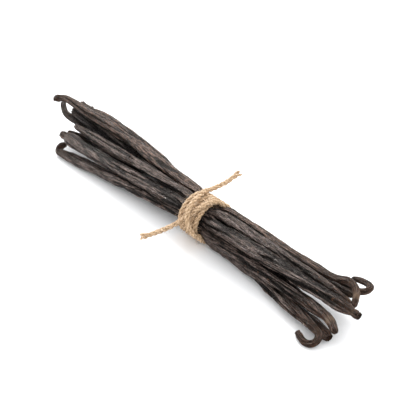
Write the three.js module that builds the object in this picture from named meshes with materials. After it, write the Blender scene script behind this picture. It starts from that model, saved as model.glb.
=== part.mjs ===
// Bundle of nine dried vanilla pods, tied round the middle with jute twine.
// Millimetres. X runs along the bundle to the near ends, Y across it, Z up.
import * as THREE from 'three';

// ---- Driving dimensions -------------------------------------------------
const GAP = 0.3;            // clear space between neighbouring pieces
const TWINE = 2.0;          // thickness of the twine
const TIE_R = 6.7;          // radius the pods are pulled down to by the tie
const TIE_HALF = 5.3;       // half the length of pod that the tie covers
const TIE_MORE = 2.0;       // length it covers besides at TOP_DEG, where it is widest
const TOP_DEG = 75;
const TIE_Z = 8.8;          // height of the tie's middle above the table
const SIDES = 12;           // corners of a pod's cross-section
const STEP = 9;             // spacing of the cross-sections along a pod
const FURROW = 0.05;        // depth of the three broad furrows, of the radius
const SWELL = { far: 0.1, near: 0.26 };   // how far the pods spring apart beside the tie
const LEAN = { far: 0.45, near: 0 };       // and lean together across and up as they leave it
const STEM_TAPER = 0.18;    // share of its thickness that a stem loses round its bends

// Directions in the cross-section, in degrees from +Y towards +Z.
const RISE = 45;
const DROP = 225;

// A pod: width and thick are its full section, lie turns the wide side, and waist is its
// centre [y, z] under the tie. Each half reaches to x = reach, where its centre is at
// end [y, z]; bow is how far it stands off the straight halfway. neck is the length of the
// taper and stem the diameter it comes down to. bends curl the stem on from there, each with
// a radius, a sweep and the direction it turns towards. tip is a round end or a flared nub.
const PODS = [
  { name: 'pod_top', width: 4.7, thick: 4.3, lie: 135, waist: [3.6, 12.5],
    far: { reach: 97.8, end: [5.6, 17.5], bow: [0.6, 0.6], neck: 50, stem: 3.1,
      bends: [{ radius: 13, sweep: 26, toward: DROP }], tip: 'nub', flare: 1.45 },
    near: { reach: 62, end: [4.3, 14.1], bow: [-0.4, -0.3], neck: 20, stem: 2.7,
      bends: [{ radius: 16, sweep: 24, toward: RISE }, { radius: 5.8, sweep: 90, toward: DROP },
        { radius: 20, sweep: 8, toward: DROP }],
      tip: 'round' } },
  { name: 'pod_crown', width: 4.6, thick: 3.6, lie: 135, waist: [-0.5, 13.2],
    far: { reach: 85.6, end: [0.4, 11.6], bow: [-0.1, -0.1], neck: 10, stem: 2.7,
      bends: [], tip: 'round' },
    near: { reach: 75.5, end: [0.25, 12.45], bow: [0.7, 0.7], neck: 20, stem: 2.7,
      bends: [], tip: 'round' } },
  { name: 'pod_front_top', width: 5.5, thick: 4.6, lie: 45, waist: [-3.4, 11.5],
    far: { reach: 86.4, end: [-4.9, 8.4], bow: [-0.6, -0.6], neck: 5, stem: 2.6,
      bends: [], tip: 'nub', flare: 1.35 },
    near: { reach: 80.6, end: [-2.4, 12.3], bow: [-0.4, 0.6], neck: 9, stem: 2.2,
      bends: [], tip: 'nub', flare: 1.35 } },
  { name: 'pod_front_low', width: 4.7, thick: 4.7, lie: 135, waist: [-3.9, 7.7],
    far: { reach: 86, end: [-8.4, 1.7], bow: [0.1, 0.4], neck: 16, stem: 3.1,
      bends: [{ radius: 1.9, sweep: 165, toward: RISE }], tip: 'round' },
    near: { reach: 71, end: [-6.6, 7.9], bow: [0, 0.1], neck: 14, stem: 3.2,
      bends: [{ radius: 13, sweep: 34, toward: DROP }], tip: 'round' } },
  { name: 'pod_hooked', width: 4.7, thick: 4.1, lie: 20, waist: [-2.5, 4.3],
    far: { reach: 88.6, end: [-1.5, 7.6], bow: [7.65, -2.9], neck: 12, stem: 2.8,
      bends: [], tip: 'round' },
    near: { reach: 73.3, end: [-11.4, 4.2], bow: [1.2, 0.3], neck: 24, stem: 2.3,
      bends: [{ radius: 2.7, sweep: 152, toward: 212 }, { radius: 6, sweep: 40, toward: 32 }],
      tip: 'nub', flare: 1.2 } },
  { name: 'pod_under', width: 4.9, thick: 4.2, lie: 0, waist: [1.8, 4.6],
    far: { reach: 98, end: [13.6, 11.8], bow: [1.4, 0.3], neck: 16, stem: 2.4,
      bends: [], tip: 'nub', flare: 1.25 },
    near: { reach: 73.6, end: [-8.4, 2.1], bow: [-0.2, -0.6], neck: 11, stem: 3.8,
      bends: [], tip: 'nub', flare: 1.02 } },
  { name: 'pod_looped', width: 4.8, thick: 4.2, lie: 60, waist: [4.3, 7.8],
    far: { reach: 87.8, end: [10.7, 14.9], bow: [2, 1.8], neck: 11, stem: 1.8,
      bends: [{ radius: 1.5, sweep: 62, toward: RISE }], tip: 'round' },
    near: { reach: 71, end: [9.7, 9.9], bow: [-0.6, -0.6], neck: 24, stem: 2.3,
      bends: [{ radius: 2.9, sweep: 172, toward: 0 }, { radius: 14, sweep: 24, toward: 180 }],
      tip: 'round' } },
  { name: 'pod_heart', width: 5.1, thick: 4.5, lie: 90, waist: [0.4, 10],
    far: { reach: 94.8, end: [6.1, 12.9], bow: [1.1, 0.5], neck: 9, stem: 4.1,
      bends: [], tip: 'round' },
    near: { reach: 63, end: [-4.8, 5.2], bow: [0, 0], neck: 18, stem: 2.4,
      bends: [], tip: 'round' } },
  { name: 'pod_slender', width: 5.1, thick: 4.5, lie: 0, waist: [0.7, 7.3],
    far: { reach: 98.6, end: [5.5, 9.4], bow: [2.9, 0.8], neck: 14, stem: 3,
      bends: [{ radius: 10, sweep: 50, toward: RISE }], tip: 'round' },
    near: { reach: 72, end: [5.6, 10.5], bow: [0, 0], neck: 22, stem: 2,
      bends: [], tip: 'round' } },
];

// ---- Small helpers ------------------------------------------------------
const rad = (deg) => deg * Math.PI / 180;
const clamp01 = (v) => Math.min(1, Math.max(0, v));
const smooth = (v) => clamp01(v) ** 2 * (3 - 2 * clamp01(v));
const vec = (x, y, z) => new THREE.Vector3(x, y, z);

function half(pod, x) {
  return x < 0 ? pod.far : pod.near;
}

// ---- A pod's centreline -------------------------------------------------
const FAN_START = 0.14;     // how softly a pod leaves the tie, of its reach
const SWELL_START = 4;      // where the pods start to spring apart, from the tie's middle
const SWELL_LENGTH = 6.5;   // length over which they do so

function centre(pod, x) {
  const h = half(pod, x);
  const s = Math.min(1, Math.abs(x) / h.reach);
  const fan = (Math.hypot(s, FAN_START) - FAN_START) / (Math.hypot(1, FAN_START) - FAN_START);
  const side = x < 0 ? 'far' : 'near';
  const free = smooth((Math.abs(x) - SWELL_START) / SWELL_LENGTH);
  const y0 = pod.waist[0] * (1 + SWELL[side] * free) + LEAN[side] * free;
  const z0 = TIE_Z + (pod.waist[1] - TIE_Z) * (1 + SWELL[side] * free) + LEAN[side] * free;
  const off = 4 * s * (1 - s);
  return vec(x, y0 + (h.end[0] - y0) * fan + h.bow[0] * off,
    z0 + (h.end[1] - z0) * fan + h.bow[1] * off);
}

// Mean radius of the section at x, as a share of the full section.
function fullness(pod, x) {
  const h = half(pod, x);
  const left = Math.max(0, h.reach - Math.abs(x));
  const stem = h.stem / ((pod.width + pod.thick) / 2);
  const k = PODS.indexOf(pod);
  const lumps = 1 + 0.06 * Math.sin(0.115 * x + 1.9 * k) + 0.035 * Math.sin(0.27 * x + 2.7 * k);
  const taper = Math.sin(clamp01(left / h.neck) * Math.PI / 2);
  return stem + (lumps - stem) * taper;
}

function meanRadius(pod, x) {
  return (pod.width + pod.thick) / 4 * fullness(pod, x);
}

// Where the tie ends along this pod: the strand over the top lies beside the near turns.
function tieEdge(pod, side) {
  const around = Math.atan2(pod.waist[1] - TIE_Z, pod.waist[0]);
  return TIE_HALF + (side > 0 ? TIE_MORE * Math.max(0, Math.cos(around - rad(TOP_DEG))) : 0);
}

// ---- Cross-section ------------------------------------------------------
const SOFT = 8;             // how sharply a section turns from round to pressed flat
const FLARE = 1.1;          // how steeply the pods bulge out beside the tie
const LEAST_R = 0.3;        // a pressed section keeps at least this radius
const FACING = 0.05;        // a neighbour or the table limits only the side that faces it

function freeRadius(pod, x, angle) {
  const a = pod.width / 2;
  const b = pod.thick / 2;
  const t = angle - rad(pod.lie);
  const oval = a * b / Math.hypot(b * Math.cos(t), a * Math.sin(t));
  const k = PODS.indexOf(pod);
  const furrow = 1 - FURROW * (1 + Math.cos(3 * angle + 0.03 * x + k)) / 2;
  return oval * furrow * fullness(pod, x);
}

// The pod keeps clear of its neighbours, of the tie and of the table: each of them is a
// limit on the radius in this direction, and the smallest one rules, blended softly.
function pressedRadius(pod, x, angle) {
  const c = centre(pod, x);
  const dy = Math.cos(angle);
  const dz = Math.sin(angle);
  const limits = [freeRadius(pod, x, angle)];
  for (const other of PODS) {
    if (other === pod || Math.abs(x) > half(other, x).reach + 2) {
      continue;
    }
    const o = centre(other, x);
    const apart = Math.hypot(o.y - c.y, o.z - c.z);
    const facing = ((o.y - c.y) * dy + (o.z - c.z) * dz) / apart;
    const share = (apart ** 2 + meanRadius(pod, x) ** 2 - meanRadius(other, x) ** 2) / (2 * apart);
    if (facing > FACING) {
      limits.push((share - GAP / 2) / facing);
    }
  }
  const beyond = Math.max(0, Math.abs(x) - tieEdge(pod, x));
  const tie = TIE_R + FLARE * beyond;
  const along = c.y * dy + (c.z - TIE_Z) * dz;
  const inside = tie ** 2 - c.y ** 2 - (c.z - TIE_Z) ** 2;
  if (inside > 0) {
    limits.push(Math.sqrt(along ** 2 + inside) - along);
  }
  const table = TWINE * clamp01(1 - beyond / STEP) + (beyond > STEP ? 0 : GAP);
  if (dz < -FACING) {
    limits.push((c.z - table) / -dz);
  }
  return limits.reduce((sum, r) => sum + Math.max(r, LEAST_R) ** -SOFT, 0) ** (-1 / SOFT);
}

// ---- Sweeping a pod -----------------------------------------------------
const BEND_STEP = 16;       // degrees between the sections round a bend
const EDGE_STEP = 1.6;      // from the tie's edge to the next section, where the pod bulges
// Sections of a tip: [how far ahead, share of the flare reached, thickness], for a flared nub
// in mm and for a round end in stem radii.
const NUB = [[0.9, 0.5, 1], [1.7, 1, 1], [2.9, 1, 0.94], [3.5, 1, 0.55]];
const ROUND_TIP = [[0.5, 0, 0.88], [0.85, 0, 0.52]];
const APEX = 0.2;           // the tip's last point lies this far ahead, of the stem's radius

function bodyStations(pod) {
  const xs = [0];
  for (const side of [-1, 1]) {
    const edge = tieEdge(pod, side);
    xs.push(side * edge, side * (edge + EDGE_STEP), side * (edge + STEP / 2));
    for (let d = TIE_HALF + 1.5 * STEP; d < half(pod, side).reach; d += STEP) {
      xs.push(side * d);
    }
  }
  const kept = xs.filter((x) => Math.abs(x) < half(pod, x).reach - STEP / 3);
  kept.push(-pod.far.reach, pod.near.reach);
  return kept.sort((a, b) => a - b);
}

function ring(c, u, v, radiusAt) {
  const points = [];
  for (let i = 0; i < SIDES; i += 1) {
    const angle = i / SIDES * 2 * Math.PI;
    const r = radiusAt(angle);
    points.push(c.clone().addScaledVector(u, r * Math.cos(angle))
      .addScaledVector(v, r * Math.sin(angle)));
  }
  return points;
}

// Rings that carry a stem on from the end of a half, round its bends to its tip.
function endRings(pod, side) {
  const h = side < 0 ? pod.far : pod.near;
  const x = side * h.reach;
  const p = centre(pod, x);
  const before = centre(pod, x - side);
  let heading = p.clone().sub(before).normalize();
  let u = vec(0, 1, 0);
  let v = vec(0, 0, 1);
  const turn = (from, to) => {
    const q = new THREE.Quaternion().setFromUnitVectors(from, to);
    u = u.applyQuaternion(q);
    v = v.applyQuaternion(q);
  };
  turn(vec(side, 0, 0), heading);
  const rings = [];
  const scaled = (k) => (angle) => k * freeRadius(pod, x, angle);
  const run = (bend) => bend.radius * rad(bend.sweep);
  const whole = h.bends.reduce((sum, bend) => sum + run(bend), 0);
  let slim = 1;
  for (const bend of h.bends) {
    const toward = vec(0, Math.cos(rad(bend.toward)), Math.sin(rad(bend.toward)));
    toward.addScaledVector(heading, -toward.dot(heading)).normalize();
    const axis = heading.clone().cross(toward);
    const pivot = p.clone().addScaledVector(toward, bend.radius);
    const steps = Math.ceil(bend.sweep / BEND_STEP);
    const arm = p.clone().sub(pivot);
    const start = heading.clone();
    for (let i = 1; i <= steps; i += 1) {
      const swept = rad(bend.sweep) * i / steps;
      const next = start.clone().applyAxisAngle(axis, swept);
      turn(heading, next);
      heading = next;
      p.copy(pivot).add(arm.clone().applyAxisAngle(axis, swept));
      slim -= STEM_TAPER * run(bend) / steps / whole;
      rings.push(ring(p, u, v, scaled(slim)));
    }
  }
  const r = h.stem / 2;
  const profile = h.tip === 'nub'
    ? NUB.map(([ahead, flared, k]) => [ahead, (1 + (h.flare - 1) * flared) * k])
    : ROUND_TIP.map(([ahead, , k]) => [ahead * r, k]);
  for (const [ahead, k] of profile) {
    rings.push(ring(p.clone().addScaledVector(heading, ahead), u, v, scaled(k * slim)));
  }
  const last = profile[profile.length - 1][0];
  return { rings, apex: p.clone().addScaledVector(heading, last + APEX * r) };
}

function skin(rings, firstApex, lastApex) {
  const points = rings.flat();
  const sides = rings[0].length;
  const first = points.push(firstApex) - 1;
  const last = points.push(lastApex) - 1;
  const index = [];
  for (let i = 0; i + 1 < rings.length; i += 1) {
    for (let j = 0; j < sides; j += 1) {
      const a = i * sides + j;
      const b = i * sides + (j + 1) % sides;
      index.push(a, b, b + sides, a, b + sides, a + sides);
    }
  }
  const base = (rings.length - 1) * sides;
  for (let j = 0; j < sides; j += 1) {
    const k = (j + 1) % sides;
    index.push(first, k, j, last, base + j, base + k);
  }
  const geometry = new THREE.BufferGeometry();
  geometry.setAttribute('position', new THREE.Float32BufferAttribute(
    points.flatMap((p) => [p.x, p.y, p.z]), 3));
  geometry.setIndex(index);
  geometry.computeVertexNormals();
  return geometry;
}

function podGeometry(pod) {
  const body = bodyStations(pod).map((x) => ring(centre(pod, x), vec(0, 1, 0), vec(0, 0, 1),
    (angle) => pressedRadius(pod, x, angle)));
  const far = endRings(pod, -1);
  const near = endRings(pod, 1);
  return skin([...far.rings.reverse(), ...body, ...near.rings], far.apex, near.apex);
}

// ---- Twine --------------------------------------------------------------
const TURNS = 5;            // turns wound side by side round the pods
const PITCH = 2.2;          // spacing of the turns along the bundle
const FIRST_X = 4.7;        // where the first turn starts, at the near edge of the tie
const TWINE_SIDES = 8;
const LAY_R = TIE_R + GAP + TWINE / 2;          // radius of the turns' centreline
const LAYER = TWINE + 0.12;                     // from one layer of twine to the next
const KNOT_DEG = 143;       // where the two ends cross, at the front of the tie
const UNDER_DEG = 300;      // where the first turn starts, under the bundle
const EDGE_DEG = 200;       // where the strand over the knot becomes the first turn
const TILT = 0.8;           // how far the turns lean towards the near end at the knot
const TOP_X = 6.5;          // where the other strand comes over the top, beside the turns
const KNOT_BACK_X = -2;     // where the strand over the knot comes from the back tail
const OFF_X = 0;            // and where it leaves them for the front tail
const START_DEG = 80;       // where the back tail meets the tie
const OVER_SPAN = 38;       // how far either side of the knot its strand is lifted
const ACROSS_SPAN = 80;     // from the last turn across the others to the top
const LEAVE_SPAN = 220;     // from the last turn to where the front tail leaves
const TWINE_CAP = 0.3;      // length of the cut ends
const BACK_TAIL = [[-2.2, 19.6, 20], [-2.6, 17, 18.9], [-3.1, 13.4, 17.5], [-3.6, 9.5, 16.9],
  [-3.7, 6, 16.9], [-3.2, 3.4, 17.8]];
const FRONT_TAIL = [[-0.9, -11.6, 11.2], [-1.5, -14.6, 10.3], [-1.9, -18, 9.9],
  [-2.2, -21.6, 9.9], [-2.3, -25.2, 10.2], [-2.3, -28.6, 10.9]];

function turnX(deg) {
  return FIRST_X - PITCH * (deg - UNDER_DEG) / 360 + TILT * Math.cos(rad(deg - KNOT_DEG));
}

// Radius at which twine at x rides, over turns that lie between x = low and x = high.
function rideRadius(x, low, high) {
  const clear = Math.max(0, low - x, x - high);
  return LAY_R + Math.sqrt(Math.max(0, LAYER ** 2 - clear ** 2));
}

// The route runs by its angle round the bundle: from the back tail over the knot, down the
// front and under the bundle, round the turns, across them at the back, over the top and
// under the knot to the front tail.
function twineRoute() {
  const route = BACK_TAIL.map((p) => vec(...p));
  const lay = (deg, x, r) => {
    const z = Math.max(TWINE / 2, TIE_Z + r * Math.sin(rad(deg)));
    route.push(vec(x, r * Math.cos(rad(deg)), z));
  };
  for (let deg = START_DEG; deg < UNDER_DEG; deg += 12) {
    const t = (deg - START_DEG) / (EDGE_DEG - START_DEG);
    const x = t < 1 ? KNOT_BACK_X + (turnX(EDGE_DEG) - KNOT_BACK_X) * t : turnX(deg);
    const over = LAYER * Math.cos(rad(90 * clamp01(Math.abs(deg - KNOT_DEG) / OVER_SPAN)));
    lay(deg, x, rideRadius(x, turnX(deg + 360 * TURNS), turnX(deg + 360)) + over);
  }
  const done = UNDER_DEG + 360 * TURNS;
  for (let deg = UNDER_DEG; deg < done; deg += 15) {
    lay(deg, turnX(deg), LAY_R);
  }
  const top = done + ACROSS_SPAN;
  for (let deg = done; deg < top; deg += 11) {
    const x = turnX(done) + (TOP_X - turnX(done)) * smooth((deg - done) / (top - done));
    lay(deg, x, rideRadius(x, turnX(deg - 360), turnX(deg - 360 * TURNS)));
  }
  const off = done + LEAVE_SPAN;
  for (let deg = top; deg <= off; deg += 10) {
    const x = TOP_X + (OFF_X - TOP_X) * ((deg - top) / (off - top)) ** 3;
    lay(deg, x, rideRadius(x, turnX(deg - 360), turnX(deg - 360 * TURNS)));
  }
  return [...route, ...FRONT_TAIL.map((p) => vec(...p))];
}

function twineGeometry() {
  const route = twineRoute();
  const rings = [];
  let u = vec(1, 0, 0);
  let heading = null;
  route.forEach((p, i) => {
    const next = route[Math.min(i + 1, route.length - 1)];
    const prev = route[Math.max(i - 1, 0)];
    const ahead = next.clone().sub(prev).normalize();
    if (heading === null) {
      u.addScaledVector(ahead, -u.dot(ahead)).normalize();
    } else {
      u.applyQuaternion(new THREE.Quaternion().setFromUnitVectors(heading, ahead));
    }
    heading = ahead;
    const v = heading.clone().cross(u);
    const points = [];
    for (let j = 0; j < TWINE_SIDES; j += 1) {
      const angle = (j + 0.5) / TWINE_SIDES * 2 * Math.PI;
      points.push(p.clone().addScaledVector(u, TWINE / 2 * Math.cos(angle))
        .addScaledVector(v, TWINE / 2 * Math.sin(angle)));
    }
    rings.push(points);
  });
  const tip = (a, b) => a.clone().addScaledVector(a.clone().sub(b).normalize(), TWINE_CAP);
  const n = route.length;
  return skin(rings, tip(route[0], route[1]), tip(route[n - 1], route[n - 2]));
}

// ---- Assembly -----------------------------------------------------------
const POD_COLOR = 0x2b201c;
const TWINE_COLOR = 0xb8935f;

function node(name, geometry, color, roughness) {
  const mesh = new THREE.Mesh(geometry, new THREE.MeshStandardMaterial({ color, roughness }));
  mesh.name = name;
  return mesh;
}

const bundle = new THREE.Group();
bundle.name = 'vanilla_bundle';
for (const pod of PODS) {
  bundle.add(node(pod.name, podGeometry(pod), POD_COLOR, 0.5));
}
bundle.add(node('twine', twineGeometry(), TWINE_COLOR, 0.9));

// Stand the bundle on the table with the middle of its length and width at the origin.
const box = new THREE.Box3().setFromObject(bundle);
for (const mesh of bundle.children) {
  mesh.geometry.translate(-(box.min.x + box.max.x) / 2, -(box.min.y + box.max.y) / 2, -box.min.z);
}

export default bundle;
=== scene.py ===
# %% [markdown]
# # A bundle of vanilla pods, tied with jute twine
# Cured vanilla pods are long, thin and dark, wrinkled like dried fruit, with a hooked stem.
# Nine of them lie side by side here, and twine wound round the middle pulls them together.
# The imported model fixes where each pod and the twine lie. This lesson dresses them: it works
# each pod out again from the same sizes, finely enough to carry wrinkles, and lays twisted
# twine along the same route. The bundle's sizes are in millimetres until a mesh is made.

# %% Load the frame
import math
from functools import partial
import bpy
import numpy as np
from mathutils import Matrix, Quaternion, Vector


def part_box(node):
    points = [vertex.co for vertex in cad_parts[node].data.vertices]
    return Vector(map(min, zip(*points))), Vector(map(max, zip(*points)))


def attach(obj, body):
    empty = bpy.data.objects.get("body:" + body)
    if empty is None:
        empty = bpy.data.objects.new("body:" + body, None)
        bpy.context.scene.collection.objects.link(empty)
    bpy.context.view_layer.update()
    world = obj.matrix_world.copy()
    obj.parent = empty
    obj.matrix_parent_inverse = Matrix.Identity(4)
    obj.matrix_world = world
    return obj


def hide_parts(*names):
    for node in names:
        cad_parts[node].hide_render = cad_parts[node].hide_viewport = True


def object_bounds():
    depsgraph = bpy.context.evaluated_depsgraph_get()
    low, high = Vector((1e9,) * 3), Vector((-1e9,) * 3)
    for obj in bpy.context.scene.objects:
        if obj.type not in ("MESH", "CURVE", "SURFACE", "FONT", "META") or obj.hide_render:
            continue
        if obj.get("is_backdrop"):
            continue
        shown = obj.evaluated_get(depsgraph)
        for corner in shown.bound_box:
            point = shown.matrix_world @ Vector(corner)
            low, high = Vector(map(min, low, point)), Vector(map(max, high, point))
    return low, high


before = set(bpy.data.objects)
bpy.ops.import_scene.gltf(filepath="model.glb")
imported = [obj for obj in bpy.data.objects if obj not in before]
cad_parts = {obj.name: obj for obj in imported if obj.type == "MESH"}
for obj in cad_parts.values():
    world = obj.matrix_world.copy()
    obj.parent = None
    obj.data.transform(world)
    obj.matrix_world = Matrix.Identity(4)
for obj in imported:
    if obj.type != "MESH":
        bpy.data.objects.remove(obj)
cad_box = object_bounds()
MM = 0.001
print("packed nodes:", ", ".join(sorted(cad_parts)))

# %% [markdown]
# The tie stands at the middle of its own little frame: the sizes below count x from the
# middle of the tie, and y and z from a point on the table under it. ORIGIN moves that point
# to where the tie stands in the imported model. The far half of a pod has x below 0, and the
# near half x above 0.

# %% Place of the tie
ORIGIN = np.array([11.726, 4.442, 0.0])
tie_low, tie_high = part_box("twine")
print("twine in the frame, mm:", [round(v / MM, 1) for v in (*tie_low, *tie_high)])

# %% [markdown]
# The camera looks down at the bundle from the front right. A wide lens from close by would
# swell the near ends, so the lens is long and stands well back, which keeps near and far
# pods close in scale. It is aimed a little above the tie.

# %% Camera
CAMERA_TURN, CAMERA_RISE = math.radians(50), math.radians(33)
CAMERA_AWAY, CLIP_START = 0.450, 0.01
LENS, SENSOR = 102.03, 36
AIM = Vector((np.array([-0.49, 2.16, 11.72]) + ORIGIN) * MM)

toward_camera = Vector((math.sin(CAMERA_TURN) * math.cos(CAMERA_RISE),
                        -math.cos(CAMERA_TURN) * math.cos(CAMERA_RISE), math.sin(CAMERA_RISE)))
camera = bpy.data.objects.new("camera", bpy.data.cameras.new("camera"))
camera.data.lens = LENS
camera.data.sensor_width = SENSOR
camera.data.clip_start = CLIP_START
camera.location = AIM + toward_camera * CAMERA_AWAY
camera.rotation_mode = "QUATERNION"
camera.rotation_quaternion = (-toward_camera).to_track_quat("-Z", "Y")
bpy.context.collection.objects.link(camera)
bpy.context.scene.camera = camera
print("camera at", [round(v, 3) for v in camera.location])

# %% [markdown]
# ## Table and light
# The bundle lies on a white table top. A backdrop could curve up behind it, but the view
# never reaches an edge, so one wide square is enough. Its white is matt and a little cool.
# It belongs to the stage and not to the bundle.

# %% Table
TABLE_HALF = 3.0
TABLE_WHITE = (0.86, 0.865, 0.875, 1)


def finish(name):
    """A new material, its tree and its shader."""
    made = bpy.data.materials.new(name)
    made.use_nodes = True
    return made, made.node_tree, made.node_tree.nodes["Principled BSDF"]


def stage_table(half):
    mesh = bpy.data.meshes.new("table")
    mesh.from_pydata([(-half, -half, 0), (half, -half, 0), (half, half, 0), (-half, half, 0)],
                     [], [(0, 1, 2, 3)])
    table = bpy.data.objects.new("table", mesh)
    bpy.context.collection.objects.link(table)
    white, _, shader = finish("table_white")
    shader.inputs["Base Color"].default_value = TABLE_WHITE
    shader.inputs["Roughness"].default_value = 0.9
    shader.inputs["Specular IOR Level"].default_value = 0.1
    mesh.materials.append(white)
    table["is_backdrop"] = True


stage_table(TABLE_HALF)
print("table:", 2 * TABLE_HALF, "m wide")

# %% [markdown]
# A bright white room gives flat, even light. A large lamp high on the far side makes the
# soft shadow on the near side, and a smaller one picks out the ridges. Oily skin glints more
# than it is lit. One strong lamp for both would wash the shadows out, so the third lamp is
# small and strong but is seen only as sheen: it draws crisp glints on the wrinkles.

# %% Lamps and room
ROOM_LIGHT = 1.6


def soft_lamp(name, place, size, watts, sheen_only=False):
    """A round lamp of this width in metres, aimed at the bundle."""
    lamp = bpy.data.objects.new(name, bpy.data.lights.new(name, "AREA"))
    lamp.data.shape = "DISK"
    lamp.data.size = size
    lamp.data.energy = watts
    lamp.location = place
    lamp.rotation_mode = "QUATERNION"
    lamp.rotation_quaternion = (-Vector(place)).to_track_quat("-Z", "Y")
    lamp.visible_diffuse = not sheen_only
    bpy.context.collection.objects.link(lamp)


soft_lamp("lamp_high", (0.15, 0.75, 1.15), 1.1, 5)
soft_lamp("lamp_glint", (-0.90, 0.55, 0.95), 0.35, 12)
soft_lamp("lamp_sheen", (-0.95, 0.25, 1.10), 0.22, 130, sheen_only=True)
room = bpy.data.worlds.new("room")
room.use_nodes = True
background = room.node_tree.nodes["Background"].inputs
background["Color"].default_value = (1.0, 1.0, 1.0, 1)
background["Strength"].default_value = ROOM_LIGHT
bpy.context.scene.world = room
bpy.context.scene.view_settings.view_transform = "Standard"
bpy.context.scene.view_settings.look = "None"
print("lamps:", ", ".join(lamp.name for lamp in bpy.data.lights))

# %% [markdown]
# ## The pods
# Every pod is described by a few sizes: its full section, its place under the tie, and for
# each half where it ends, how it bows on the way, how it narrows to a stem and how the stem
# curls. A pod could be drawn by hand as a curve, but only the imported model's own sizes make
# the fine pods lie where the solids lie.

# %% Sizes of the pods
RISE, DROP = 45, 225    # a stem curls up and toward +Y, or down and toward -Y


def half(reach, end, bow, neck, stem, bends=(), flare=None):
    """One half: how far along x, end (y, z), bow (y, z), neck length and stem thickness.

    A bend is (radius, degrees, direction), and a nub flares to so many times its stem.
    """
    return dict(reach=reach, end=end, bow=bow, neck=neck, stem=stem, bends=bends, flare=flare)


# name: width, thickness, lie of the wide side, centre under the tie, far half, near half
PODS = {
    "pod_top": (4.7, 4.3, 135, (3.6, 12.5),
                half(97.8, (5.6, 17.5), (0.6, 0.6), 50, 3.1, [(13, 26, DROP)], 1.45),
                half(62, (4.3, 14.1), (-0.4, -0.3), 20, 2.7,
                     [(16, 24, RISE), (5.8, 90, DROP), (20, 8, DROP)])),
    "pod_crown": (4.6, 3.6, 135, (-0.5, 13.2),
                  half(85.6, (0.4, 11.6), (-0.1, -0.1), 10, 2.7),
                  half(75.5, (0.25, 12.45), (0.7, 0.7), 20, 2.7)),
    "pod_front_top": (5.5, 4.6, 45, (-3.4, 11.5),
                      half(86.4, (-4.9, 8.4), (-0.6, -0.6), 5, 2.6, flare=1.35),
                      half(80.6, (-2.4, 12.3), (-0.4, 0.6), 9, 2.2, flare=1.35)),
    "pod_front_low": (4.7, 4.7, 135, (-3.9, 7.7),
                      half(86, (-8.4, 1.7), (0.1, 0.4), 16, 3.1, [(1.9, 165, RISE)]),
                      half(71, (-6.6, 7.9), (0, 0.1), 14, 3.2, [(13, 34, DROP)])),
    "pod_hooked": (4.7, 4.1, 20, (-2.5, 4.3),
                   half(88.6, (-1.5, 7.6), (7.65, -2.9), 12, 2.8),
                   half(73.3, (-11.4, 4.2), (1.2, 0.3), 24, 2.3,
                        [(2.7, 152, 212), (6, 40, 32)], 1.2)),
    "pod_under": (4.9, 4.2, 0, (1.8, 4.6),
                  half(98, (13.6, 11.8), (1.4, 0.3), 16, 2.4, flare=1.25),
                  half(73.6, (-8.4, 2.1), (-0.2, -0.6), 11, 3.8, flare=1.02)),
    "pod_looped": (4.8, 4.2, 60, (4.3, 7.8),
                   half(87.8, (10.7, 14.9), (2, 1.8), 11, 1.8, [(1.5, 62, RISE)]),
                   half(71, (9.7, 9.9), (-0.6, -0.6), 24, 2.3, [(2.9, 172, 0), (14, 24, 180)])),
    "pod_heart": (5.1, 4.5, 90, (0.4, 10),
                  half(94.8, (6.1, 12.9), (1.1, 0.5), 9, 4.1),
                  half(63, (-4.8, 5.2), (0, 0), 18, 2.4)),
    "pod_slender": (5.1, 4.5, 0, (0.7, 7.3),
                    half(98.6, (5.5, 9.4), (2.9, 0.8), 14, 3, [(10, 50, RISE)]),
                    half(72, (5.6, 10.5), (0, 0), 22, 2)),
}
NAMES = list(PODS)
print(len(PODS), "pods")

# %% [markdown]
# A pod is straight inside the tie and fans out to its end in one smooth line. Straight lines
# to the ends would kink at the tie, so the line is a hyperbola, with a bow added. Just past
# the tie the pods also spring apart a little, more in the near half than in the far one.

# %% Centre line of a pod
TIE_Z, FAN_START = 8.8, 0.14    # height of the tie's middle; how softly a fan opens
SWELL_START, SWELL_LENGTH = 4, 6.5
SWELL, LEAN = {-1: 0.1, 1: 0.26}, {-1: 0.45, 1: 0}    # for the far side and the near one


def smooth(v):
    v = min(1.0, max(0.0, v))
    return v * v * (3 - 2 * v)


def side_of(x):
    return -1 if x < 0 else 1


def half_of(name, x):
    return PODS[name][4 if x < 0 else 5]


def centre(name, x):
    h = half_of(name, x)
    s = min(1.0, abs(x) / h["reach"])
    fan = (math.hypot(s, FAN_START) - FAN_START) / (math.hypot(1, FAN_START) - FAN_START)
    free = smooth((abs(x) - SWELL_START) / SWELL_LENGTH)
    swell, lean = 1 + SWELL[side_of(x)] * free, LEAN[side_of(x)] * free
    waist = PODS[name][3]
    y0 = waist[0] * swell + lean
    z0 = TIE_Z + (waist[1] - TIE_Z) * swell + lean
    off = 4 * s * (1 - s)
    return np.array([x, y0 + (h["end"][0] - y0) * fan + h["bow"][0] * off,
                     z0 + (h["end"][1] - z0) * fan + h["bow"][1] * off])


print("far end of pod_top's body, mm:", centre("pod_top", -97.8).round(1))

# %% [markdown]
# A cured pod is plump in the middle and runs out to a thin stem. A plain taper would look
# turned on a lathe, so a few slow lumps, different for each pod, run along it.

# %% Fullness along a pod
LUMPS = ((0.06, 0.115, 1.9), (0.035, 0.27, 2.7))    # height, turn for each mm and each pod


def fullness(name, x):
    """The size of the section at x, as a share of the full one."""
    width, thick = PODS[name][:2]
    h = half_of(name, x)
    left = max(0.0, h["reach"] - abs(x))
    stem = h["stem"] / ((width + thick) / 2)
    lumps = 1
    for height, per_mm, per_pod in LUMPS:
        lumps += height * math.sin(per_mm * x + per_pod * NAMES.index(name))
    return stem + (lumps - stem) * math.sin(min(1.0, left / h["neck"]) * math.pi / 2)


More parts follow.
